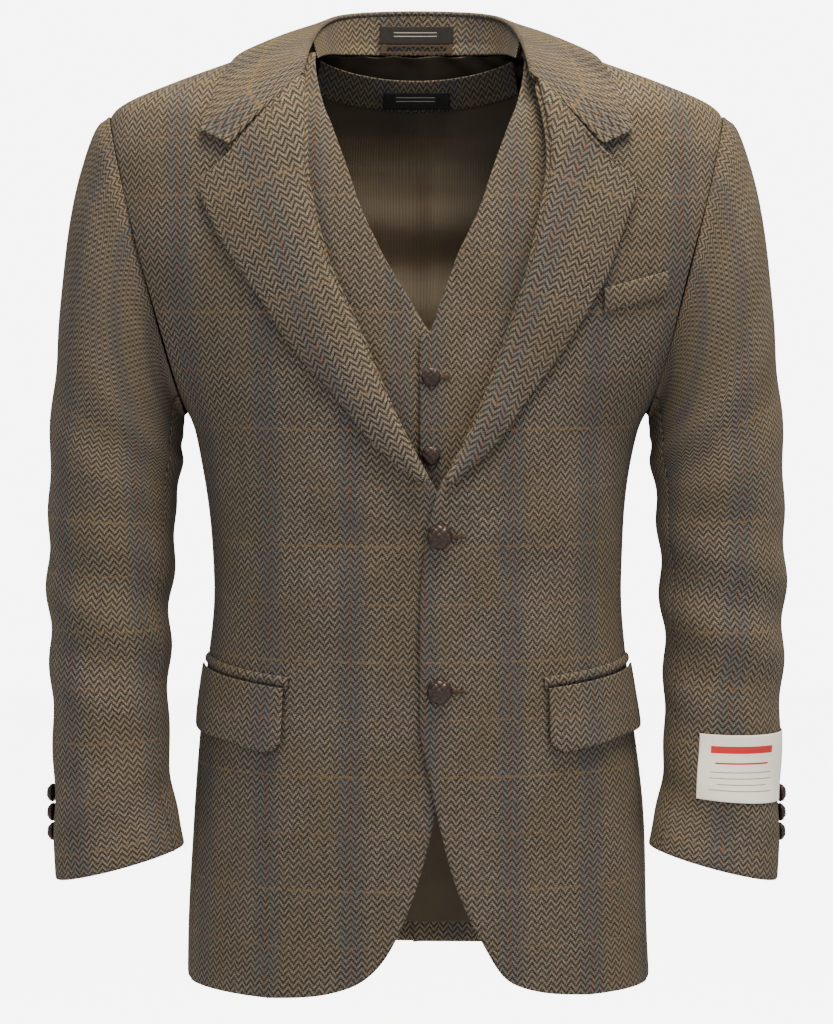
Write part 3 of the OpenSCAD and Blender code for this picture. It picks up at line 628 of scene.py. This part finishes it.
def collar_leaf():
    """The leaf falls from the fold to its edge, and a narrow roll turns over the fold to the inside."""
    fold, ks = ring_through(FOLD)
    edge, _ = ring_through(LEAF_EDGE)
    k = np.abs(ks)
    tip, end = np.array(LEAF_EDGE[5]), np.array(LEAF_EDGE[6])
    side_sign = np.stack([np.sign(ks), 1 + 0 * k, 1 + 0 * k], axis=-1)
    straight = (tip + (end - tip) * (k[:, None] - 5)) * side_sign
    edge = np.where(k[:, None] > 5, straight, edge)
    out = leaf_out(ks)
    t = np.linspace(0, 1, 24)[:, None]
    swell = np.sin(np.pi * t) * np.interp(k, [0, 3, 4, 6], [3, 2, 2.5, 1])[None, :] + (1 - t) * 1.5 + 1.6
    pts = fold[None] + (edge - fold)[None] * t[..., None] + out[None] * swell[..., None]
    x, y, z = pts[..., 0], pts[..., 1], pts[..., 2]
    held = np.minimum(y, front_pt(LEFT, np.abs(x), z, COLLAR_OUT + 1.0)[..., 1])
    weight = (np.clip((k - 2.8) / 0.8, 0, 1) * np.clip(t * 2.5 + k - 4.2, 0, 1)
              * (np.abs(x) < smooth(z, HALF_W)))
    pts[..., 1] = y + weight * (held - y)
    up = pts[0] - pts[2]
    up /= np.linalg.norm(up, axis=-1, keepdims=True)
    turn = np.radians(np.arange(180, 0, -22.5))[:, None, None]
    roll = pts[0] + ROLL_R * (out * (np.cos(turn) - 1) + up * np.sin(turn))
    lip = roll[0] - up * np.array([4.0, 2.0])[:, None, None]
    run = np.concatenate([[0], np.cumsum(np.linalg.norm(np.diff(edge, axis=0), axis=1))])
    whole = np.concatenate([lip, roll, pts])
    down = np.concatenate([[-11, -9], -np.linspace(7, 1, len(roll)), np.linspace(0, 46, len(pts))])[:, None]
    uv = np.stack(np.broadcast_arrays(run[None, :] - run[-1] / 2 + 35, 24 - down), axis=-1)
    centre = np.array([0, 0, -30])
    cloth("collar_leaf_cloth", whole, uv, 1.8, TWEED, nodes=["collar_leaf"], outward=lambda p: p - centre)


def collar_stand():
    foot, ks = ring_through(STAND_FOOT)
    fold, _ = ring_through(FOLD[:5])
    k = np.abs(ks)
    top = fold - leaf_out(ks) * 0.6 - np.array([0, 0, 1])
    t = np.linspace(0, 1, 16)
    bow = np.sin(np.pi * t)[:, None] * np.interp(k, [2, 4], [1.5, 0])[None, :]
    seam = 0.9 * np.exp(-((t - 0.30) / 0.05) ** 2)[:, None] * np.interp(k, [2, 4], [1, 0])[None, :]
    pts = foot[None] + (top - foot)[None] * t[:, None, None]
    pts[..., 1] += bow + seam
    run = np.concatenate([[0], np.cumsum(np.linalg.norm(np.diff(fold, axis=0), axis=1))])
    uv = np.stack(np.broadcast_arrays(run[None, :] - run[-1] / 2 + 20, t[:, None] * 34 + 8), axis=-1)
    cloth("collar_stand_cloth", pts, uv, 1.4, TWEED, nodes=["collar_stand"], outward=lambda p: -p * [1, 1, 0])


collar_leaf()
collar_stand()
print("collar and lapels made")

# %% [markdown]
# ## Sleeves
# Each sleeve is a tube through rings that lean with the armhole at the top and hang level at the cuff.

# %% Sleeves
RINGS = [
    (SHOULDER_W, -57, SHOULDER_W - 61, -300, 0, 64), (SHOULDER_W + 12, -70, 191, -303, 0, 67),
    (SHOULDER_W + 25, -104, 191, -307, 0, 71), (SHOULDER_W + 35, -152, 191.5, -311, 0, 74),
    (SHOULDER_W + 42, -215, 192, -318, -1, 75), (SHOULDER_W + 48, -290, 193, -335, -3, 74),
    (SHOULDER_W + 52, -370, 197, -378, -8, 69), (SHOULDER_W + 52, -450, 201, -450, -16, 61),
    (SHOULDER_W + 48, -530, 203, -528, -28, 53), (296, -600, 200, -594, -41, 46),
    (294, -676, 188, -648, -54, 42)]
ARM_X, ARM_Y = 246, -15                 # a line inside the sleeve, to tell its outside from its inside
ARMHOLE = np.array([220.5, 0, -178.5])  # middle of the armhole
ARM_OUT = np.array([0.97, 0, -0.243])   # the way it faces
ARM_BEND = (4, 60)                      # distances out from the armhole, given to cloth() as bend, which does not use their values
BACK_SEAM = 112
FRONT_SEAM = 150


def sleeve_pts(s, t, b, off):
    ox, oz, ix, iz, mid_y, deep = np.moveaxis(through(RINGS, t), -1, 0)
    half = np.hypot(ox - ix, oz - iz) / 2
    k = (1 + off / half) * np.cos(np.radians(b))
    sin_b = np.sin(np.radians(b))
    fill = np.interp(t, [0, 1.8], [0.62, 1])        # the head fills the armhole
    full = np.sign(sin_b) * np.abs(sin_b) ** fill
    return np.stack([s * ((ox + ix) / 2 + (ox - ix) / 2 * k), mid_y - (deep + off) * full,
                     (oz + iz) / 2 + (oz - iz) / 2 * k], axis=-1)


def sleeve_folds(s, t, b):
    """A rounded sleeve head, creases inside the elbow and slack above the cuff."""
    head = 1.6 * np.exp(-((t - 0.7) / 0.5) ** 2) * np.cos(np.radians(b / 2)) ** 2
    elbow = 2.6 * np.exp(-((t - 7.1) / 1.0) ** 2) * np.sin(t * 7.5 + np.radians(b) * 1.6 * s + 0.5)
    upper = 1.8 * np.exp(-((t - 5.2) / 0.9) ** 2) * np.sin(t * 5.0 - np.radians(b) * 2.0 + 1.1)
    cuff = 1.3 * np.exp(-((t - 9.2) / 0.7) ** 2) * np.sin(t * 6 + np.radians(b) * 2.4)
    return (head + elbow + upper + cuff) * np.clip(t / 0.5, 0, 1)


def sleeve_cloth(name, s, b_from, b_to, cols, off, thick, material, t_from=0, t_to=10, wave=1.0):
    t = np.linspace(t_from, t_to, 110)[:, None] + np.zeros((1, cols))
    b = np.linspace(b_from, b_to, cols)[None, :] + 0 * t
    pts = sleeve_pts(s, t, b, off + wave * sleeve_folds(s, t, b))
    steps = np.linalg.norm(np.diff(pts, axis=1), axis=2)
    around = np.concatenate([np.zeros((len(t), 1)), np.cumsum(steps, axis=1)], axis=1)
    u = around - around[:, cols // 2][:, None]
    along = np.concatenate([[0], np.cumsum(np.linalg.norm(np.diff(pts[:, cols // 2], axis=0), axis=1))])
    uv = np.stack([s * u + (29 if s == RIGHT else 12), -along[:, None] + 0 * u + (-57 + 16)], axis=-1)
    cloth(name, pts, uv, thick, material, body=f"sleeve_{SIDE_NAME[s]}", nodes=[name.replace("_cloth", "")],
          outward=lambda p: (p - [s * ARM_X, ARM_Y, 0]) * [1, 1, 0],
          bend=[tuple((ARMHOLE + ARM_OUT * d) * [s, 1, 1] * MM) for d in ARM_BEND])


for s in (RIGHT, LEFT):
    tag = SIDE_NAME[s]
    sleeve_cloth(f"sleeve_top_{tag}_cloth", s, -BACK_SEAM, FRONT_SEAM, 50, 0, 2.2, TWEED)
    sleeve_cloth(f"sleeve_under_{tag}_cloth", s, FRONT_SEAM - 0.2, 360.2 - BACK_SEAM, 22, 0, 2.2, TWEED)
    sleeve_cloth(f"sleeve_lining_{tag}_cloth", s, 0.5, 359.5, 60, LAYER["lining"], 0.6, SATIN,
                 t_from=1, t_to=9.75, wave=0.6)
print("sleeves made")

# %% [markdown]
# ## Pockets
# Flaps hang over the front from under a narrow jetting. Their lower corners are rounded.

# %% Pockets
FLAP_TOP = box_mm("flap_left")[1][2]
FLAP_RAKE = 11          # how much lower the front end hangs
FLAP_H = FLAP_TOP - FLAP_RAKE - box_mm("flap_left")[0][2]
FLAP_FRONT_X = 103
FLAP_BACK_A = 7
FLAP_CORNER = 13        # radius of the lower corners
WELT_X, WELT_Z = 172, -190
WELT_W = 52
WELT_H = 20
WELT_SLOPE = 0.26


def flap(s):
    t = np.linspace(0, 1, 26)
    r = FLAP_CORNER / FLAP_H
    corner = np.where(t > 1 - r, 1 - np.sqrt(np.clip(1 - ((t - 1 + r) / r) ** 2, 0, 1)), 0) * FLAP_CORNER
    z_row = FLAP_TOP - FLAP_H * t
    front_a = angle_at(z_row, FLAP_FRONT_X + corner)
    back_a = FLAP_BACK_A + corner * 0.3
    a, z = spread(back_a, front_a, 50, z_row)
    w = np.linspace(0, 1, 50)[None, :]
    z = z + 1.5 * np.sin(np.pi * w) * t[:, None] - FLAP_RAKE * w
    kick = 2.4 + 1.8 * np.sin(np.pi * t[:, None] * 0.5) + 1.2 * np.sin(w * 9 + s) * t[:, None]
    pts = body_pt(s, z, a, kick + 2.0 + folds(s, z, a))
    cloth(f"flap_{SIDE_NAME[s]}_cloth", pts, weave_uv(s, z, a, UV_SHIFT[s] + 1), 2.2, TWEED,
          body=f"flap_{SIDE_NAME[s]}_body", nodes=[f"flap_{SIDE_NAME[s]}"])


def jetting(s):
    rows = FLAP_TOP + np.linspace(9, 0.6, 6)
    a, z = spread(np.full(6, FLAP_BACK_A + 0.5), angle_at(rows, FLAP_FRONT_X - 3), 50, rows)
    z = z - FLAP_RAKE * np.linspace(0, 1, 50)[None, :]
    bead = np.array([0.2, 1.6, 2.2, 2.2, 1.9, 0.7])[:, None]
    pts = body_pt(s, z, a, bead + 0.9 + folds(s, z, a))
    cloth(f"jetting_{SIDE_NAME[s]}_cloth", pts, weave_uv(s, z, a, UV_SHIFT[s]), 1.4, TWEED,
          nodes=[f"jetting_{SIDE_NAME[s]}"])


def breast_welt():
    share = np.linspace(0.5, -0.5, 34)[None, :] + np.zeros((12, 1))
    depth = np.linspace(0, WELT_H, 12)[:, None]
    x = WELT_X + WELT_W * share
    z = WELT_Z + (x - WELT_X) * WELT_SLOPE - depth
    a = angle_at(z, x)
    puff = 0.9 + 1.4 * np.sin(np.pi * np.clip(depth / WELT_H, 0, 1)) ** 0.5
    pts = body_pt(LEFT, z, a, puff + 1.6 + folds(LEFT, z, a))
    cloth("breast_welt_cloth", pts, weave_uv(LEFT, z, a, UV_SHIFT[LEFT] + 2), 1.9, TWEED,
          nodes=["breast_welt"])


for s in (RIGHT, LEFT):
    flap(s)
    jetting(s)
breast_welt()
print("pockets made")

# %% [markdown]
# ## Linings and the waistcoat

# %% Linings
def lining_back():
    rows = np.concatenate([top_rows(1, -60, 14), top_rows(-66, 18 - JACKET_LEN, 60)])
    neck_x = np.interp(rows, [-63, -57, -49, -10, 2], [225, 180, 120, 96, 80])
    reach = np.where(rows > -64, angle_at(rows, neck_x), side_back(rows))
    a = np.linspace(-1, 1, 61)[None, :] * (90 - reach)[:, None] - 90
    z = np.repeat(rows[:, None], 61, 1)
    pucker = 0.9 * np.sin(a / 2.3 + 2 * np.sin(z / 9)) * np.clip((z + 70) / 50, 0, 1)
    pts = body_pt(LEFT, z, a, LAYER["lining"] + 0.8 * folds(LEFT, z, a) + pucker)
    uv = np.stack([a * 3, z], axis=-1)
    cloth("lining_back_cloth", pts, uv, 0.7, SATIN, nodes=["lining_back"])


def lining_front(s):
    rows = top_rows(-64, 8 - JACKET_LEN, 70)
    lo = np.where(rows > -345, side_front(rows), -10.0)
    stop = np.maximum(edge_x(s, rows), np.where(rows > ROLL_END, 20, 8)) + 42
    a, z = spread(lo, np.maximum(lo + 1, angle_at(rows, stop)), 26, rows)
    pts = body_pt(s, z, a, LAYER["lining"] + folds(s, z, a))
    cloth(f"lining_front_{SIDE_NAME[s]}_cloth", pts, weave_uv(s, z, a, 0), 0.7, SATIN,
          nodes=[f"lining_front_{SIDE_NAME[s]}"])


lining_back()
lining_front(RIGHT)
lining_front(LEFT)

# %% Waistcoat
V_DROP = 232
VEST_LEN = -box_mm("waistcoat_back")[0][2]
VEST_NECK = [(-V_DROP, 0), (-198, 17), (-166, 33), (-131, 50), (-95, 62), (-57, 75), (-20, 88), (8, 97)]
VEST_ARM = [(-285, 215), (-250, 176), (-200, 160), (-130, 152), (-60, 158), (-22, 168), (8, 172)]


def vest_side(z):
    return np.maximum(0.05, angle_at(z, smooth(z, VEST_ARM)))


def vest_front(s):
    rows = np.concatenate([top_rows(6, -V_DROP, 70), top_rows(-V_DROP - 3, -VEST_LEN, 50)])
    lo = vest_side(rows)
    lap, shift = (2, 8) if s == LEFT else (-24, -8)
    neck = smooth(rows, VEST_NECK) + shift * np.clip((rows + V_DROP) / -60 + 1, 0, 1) + s * 3
    inner = np.where(rows >= -V_DROP, neck, lap)
    a, z = spread(lo, np.maximum(lo + 0.8, angle_at(rows, inner)), 40, rows)
    x = smooth(z, HALF_W) * power(np.cos(np.radians(a)))
    below_v = np.interp(z, [-215, -150], [1, 0])
    under = 0 * z if s == LEFT else -3.4 * np.interp(x, [-10, 2, 30], [1, 1, 0]) * below_v
    drop = np.clip((-z - 480) / 95, 0, 1) * 24 * np.exp(-((x - 45) / 38) ** 2)
    pts = body_pt(s, z, a, LAYER["vest"] + under + 0.4 * folds(s, z, a))
    pts[..., 2] -= drop
    uv = weave_uv(s, z, a, -12 if s == LEFT else 14)
    cloth(f"waistcoat_front_{SIDE_NAME[s]}_cloth", pts, uv, 2.0, TWEED,
          nodes=[f"waistcoat_front_{SIDE_NAME[s]}"])


def around_back(node, rows, off, material, wave=None):
    """A sheet from one side seam of the waistcoat round the back to the other."""
    a = np.linspace(-1, 1, 61)[None, :] * (90 - vest_side(rows))[:, None] - 90
    z = np.repeat(rows[:, None], 61, 1)
    pts = body_pt(LEFT, z, a, off + (wave(z, a) if wave else 0))
    uv = np.stack([np.radians(a + 90) * 110 + 35, z + 30], axis=-1)
    cloth(f"{node}_cloth", pts, uv, 0.7, material, nodes=[node])


def swoop(z, a):
    """Folds that hang from the shoulders and sag towards the middle of the back, below the neck band."""
    side_x = np.abs(a + 90) / 60
    line = z + 60 * (1 - np.clip(side_x, 0, 1) ** 1.5)
    centre = -1.6 * np.exp(-((a + 88) / 1.2) ** 2)
    loose = np.clip((-z - 62) / 50, 0, 1)
    return 4.6 * (np.sin(line / 11) * np.clip(side_x * 2, 0.3, 1) - 1) * loose + centre


vest_front(RIGHT)
vest_front(LEFT)
around_back("waistcoat_back", top_rows(-22, -VEST_LEN, 70), LAYER["vest"], SATIN)
around_back("waistcoat_lining", top_rows(-22, -VEST_LEN, 110), LAYER["vest_lining"], SATIN_LIGHT, wave=swoop)
BAND_REACH = 94
BAND_RISE = 14


def neck_band():
    """The band inside the waistcoat's neck, which rises from the middle of the back to each shoulder."""
    share = np.linspace(-1, 1, 61)[None, :]
    z = top_rows(-9, -35, 10)[:, None] + BAND_RISE * share ** 2
    a = -angle_at(z, BAND_REACH * share)
    uv = np.stack([BAND_REACH * 1.15 * share + 35 + 0 * z, z - BAND_RISE * share ** 2 + 30], axis=-1)
    cloth("neck_band_cloth", body_pt(LEFT, z, a, LAYER["band"]), uv, 1.3, TWEED, nodes=["neck_band"])


neck_band()
print("waistcoat made")

# %% Labels
LABEL_HALF = 31
CUFF_LABEL_T = (8.36, 9.16)     # the sleeve's rings between which the cuff's patch lies
CUFF_LABEL_B = (-5, 118)        # and the angles round the sleeve


def jacket_label():
    low, high = box_mm("jacket_label")
    x = np.linspace(-LABEL_HALF, LABEL_HALF, 24)[None, :] + np.zeros((8, 1))
    z = np.linspace(high[2], low[2], 8)[:, None] + 0 * x
    pts = np.stack([x, high[1] - 0.6 - np.abs(x) ** 1.5 * 0.015, z], axis=-1)
    cloth("jacket_label_cloth", pts, np.stack([x + LABEL_HALF, z - low[2]], axis=-1), 0.5, DARK_LABEL,
          nodes=["jacket_label"], outward=lambda p: p * 0 + [0, -1, 0])


def waistcoat_label():
    x = np.linspace(-LABEL_HALF, LABEL_HALF, 24)[None, :] + np.zeros((8, 1))
    z = np.linspace(-17, -31, 8)[:, None] + 0 * x
    pts = body_pt(LEFT, z, -angle_at(z, x), LAYER["band"] - 2.1)
    cloth("waistcoat_label_cloth", pts, np.stack([x + LABEL_HALF, z + 31], axis=-1), 0.5, DARK_LABEL,
          nodes=["waistcoat_label"], outward=lambda p: p * 0 + [0, -1, 0])


jacket_label()
waistcoat_label()


def cuff_label():
    t = np.linspace(*CUFF_LABEL_T, 24)[:, None] + np.zeros((1, 36))
    b = np.linspace(*CUFF_LABEL_B, 36)[None, :] + 0 * t
    pts = sleeve_pts(LEFT, t, b, 1.2 + sleeve_folds(LEFT, t, b))
    width = np.linalg.norm(np.diff(pts[12], axis=0), axis=1).sum()
    height = np.linalg.norm(np.diff(pts[:, 18], axis=0), axis=1).sum()
    (top, low), (start, end) = CUFF_LABEL_T, CUFF_LABEL_B
    uv = np.stack([(end - b) / (end - start) * width, (low - t) / (low - top) * height], axis=-1)
    cloth("cuff_label_cloth", pts, uv, 0.5, WHITE_LABEL, body="sleeve_left", nodes=["cuff_label"],
          outward=lambda p: (p - [ARM_X, ARM_Y, 0]) * [1, 1, 0])


cuff_label()

# %% [markdown]
# ## Buttons
# A plaited leather button is a dome whose cover is woven of flat straps, each passing over one and under
# the next.

# %% Buttons
PLAIT = 0.56            # width of a strap, as a share of the button's radius
CUFF_BUTTON_DEEP = 0.0078
CUFF_LEAN = 14          # degrees by which the cuff buttons face backwards


def plait(x, y):
    """How far a point of the cover stands up: 1 on the crown of a strap and 0 in the groove between two."""
    u, v = (x + y) / math.sqrt(2) / PLAIT, (y - x) / math.sqrt(2) / PLAIT
    i, j = round(u), round(v)
    across, along = (v - j, u - i) if (i + j) % 2 else (u - i, v - j)
    return math.sqrt(max(0.0, math.cos(math.pi * across))) * (1 - 0.9 * along * along)


def button_cover(name, centre, axis, diameter, height, body, node):
    bpy.ops.object.select_all(action="DESELECT")
    bpy.ops.mesh.primitive_uv_sphere_add(segments=88, ring_count=64, radius=1)
    piece = bpy.context.active_object
    piece.name = name
    turn = Vector((0, 0, 1)).rotation_difference(Vector(axis))
    for vertex in piece.data.vertices:
        p = vertex.co
        crown = plait(p.x, p.y)
        top = p.z > 0
        thick = height * (0.62 if top else 0.38)
        sink = (1 - crown) * height * 0.17 * (1 if top else 0.2)
        rim = 0.98 + 0.02 * crown
        spot = Vector((p.x * rim * diameter / 2, p.y * rim * diameter / 2,
                       p.z * thick - sink + height * 0.38))
        vertex.co = turn @ spot + Vector(centre)
    bpy.ops.object.shade_smooth()
    piece.data.materials.append(LEATHER)
    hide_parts(node)
    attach(piece, body)


def button_from_node(node, axis):
    low, high = (Vector(v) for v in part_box(node))
    size = high - low
    axis = Vector(axis).normalized()
    middle = (low + high) / 2
    deep = min(size) if abs(axis.y) > 0.99 else CUFF_BUTTON_DEEP
    base = middle - axis * deep / 2
    button_cover(node + "_cover", base, axis, size.z, deep, node + "_body", node)


for number in (1, 2):
    button_from_node(f"front_button_{number}", (0, -1, 0))
for number in range(1, 6):
    button_from_node(f"waistcoat_button_{number}", (0, -1, 0))
lean = math.radians(CUFF_LEAN)
for s in (RIGHT, LEFT):
    for number in (1, 2, 3):
        button_from_node(f"cuff_button_{SIDE_NAME[s]}_{number}", (s * math.cos(lean), math.sin(lean), 0))
print("buttons made")


# %% Buttonholes
def buttonhole(name, x_from, length, z, off):
    """A worked slit: a flat ring of close stitches round a dark cut."""
    pts = []
    for share in np.linspace(0, 1, 30):
        x = x_from + length * share
        ends = math.sin(math.pi * min(share * 6, 1) / 2) * math.sin(math.pi * min((1 - share) * 6, 1) / 2)
        wide = 1.5 * ends
        pts.append([front_pt(LEFT, x, z + v * (wide + 0.25), off + 0.35 * (1 - v * v))
                    for v in np.linspace(-1, 1, 7)])
    pts = np.array(pts)
    uv = pts[..., [0, 2]]
    cloth(name, pts, uv, 0.5, THREAD, outward=lambda p: p * 0 + [0, -1, 0])


for number in (1, 2):
    low, high = box_mm(f"front_button_{number}")
    z = (low[2] + high[2]) / 2
    x = (low[0] + high[0]) / 2
    lift = folds(LEFT, np.array(z), angle_at(np.array(z), x + 14))
    buttonhole(f"buttonhole_{number}", x + 2, 19, z, 0.9 + float(lift))
low, high = box_mm("waistcoat_button_1")
x, z = (low[0] + high[0]) / 2, (low[2] + high[2]) / 2
buttonhole("waistcoat_buttonhole_1", x + 2, 16, z, LAYER["vest"] + 0.9)

# %% [markdown]
# ## Nodes that keep their CAD shape
# The pads, straps, buckle and hanger loop are the right shape already, so they only get a material.

# %% Kept nodes
def dress(node, material):
    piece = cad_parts[node]
    piece.data.materials.clear()
    piece.data.materials.append(material)


for node, material in (("pad_right", WADDING), ("pad_left", WADDING), ("strap_right", SATIN),
                       ("strap_left", SATIN), ("hanger_loop", THREAD), ("strap_buckle", STEEL)):
    dress(node, material)

# %% [markdown]
# ## Stage, light and camera

# %% Stage
bpy.ops.mesh.primitive_plane_add(size=12, location=(0, 0, -1.3))
floor = bpy.context.active_object
floor.name = "floor"
floor_material, floor_tree, floor_shader = new_material("floor_paint", Roughness=0.9)
floor_shader.inputs["Base Color"].default_value = (0.9, 0.9, 0.9, 1)
floor_shader.inputs["Emission Color"].default_value = (1, 1, 1, 1)
floor.data.materials.append(floor_material)
world = bpy.data.worlds.new("studio")
bpy.context.scene.world = world
world.use_nodes = True
background = world.node_tree.nodes["Background"]
background.inputs["Color"].default_value = (1, 1, 1, 1)


def seen_brighter(tree, socket, unseen, seen):
    """Gives a strength one value for the light it sheds and a higher one where it is looked at."""
    path = tree.nodes.new("ShaderNodeLightPath")
    strength = Value(tree, path.outputs["Is Camera Ray"]) * (seen - unseen) + unseen
    tree.links.new(strength.socket, socket)


seen_brighter(world.node_tree, background.inputs["Strength"], 0.66, 7.0)
seen_brighter(floor_tree, floor_shader.inputs["Emission Strength"], 0.0, 6.0)


LIT_SPOT = (0, 0, -0.35)        # where every light is turned to


def soft_light(name, place, size, power_w, colour):
    light = bpy.data.lights.new(name, "AREA")
    light.size = size
    light.energy = power_w
    light.color = colour
    lamp = bpy.data.objects.new(name, light)
    lamp.location = place
    lamp.rotation_euler = (Vector(LIT_SPOT) - Vector(place)).to_track_quat("-Z", "Y").to_euler()
    bpy.context.collection.objects.link(lamp)


soft_light("overhead", (0.3, -0.5, 1.5), 0.9, 125, (1.0, 0.83, 0.56))
soft_light("key", (-1.6, -2.2, 0.7), 1.0, 22, (1.0, 0.97, 0.93))
soft_light("fill", (1.9, -2.0, 0.1), 1.4, 16, (0.97, 0.98, 1.0))

# %% Camera
DISTANCE = 2.5
HEIGHT = -0.206
AIM = -0.381
HALF_VIEW = 0.3435      # half of the width in view, at the object
camera_data = bpy.data.cameras.new("camera")
camera = bpy.data.objects.new("camera", camera_data)
camera.location = (0, -DISTANCE, HEIGHT)
pitch = math.atan2(HEIGHT - AIM, DISTANCE)
camera.rotation_euler = (math.pi / 2 - pitch, 0, 0)
camera_data.sensor_fit = "HORIZONTAL"
camera_data.angle = 2 * math.atan(HALF_VIEW / math.hypot(DISTANCE, HEIGHT - AIM))
camera_data.clip_end = 50
bpy.context.collection.objects.link(camera)
bpy.context.scene.camera = camera
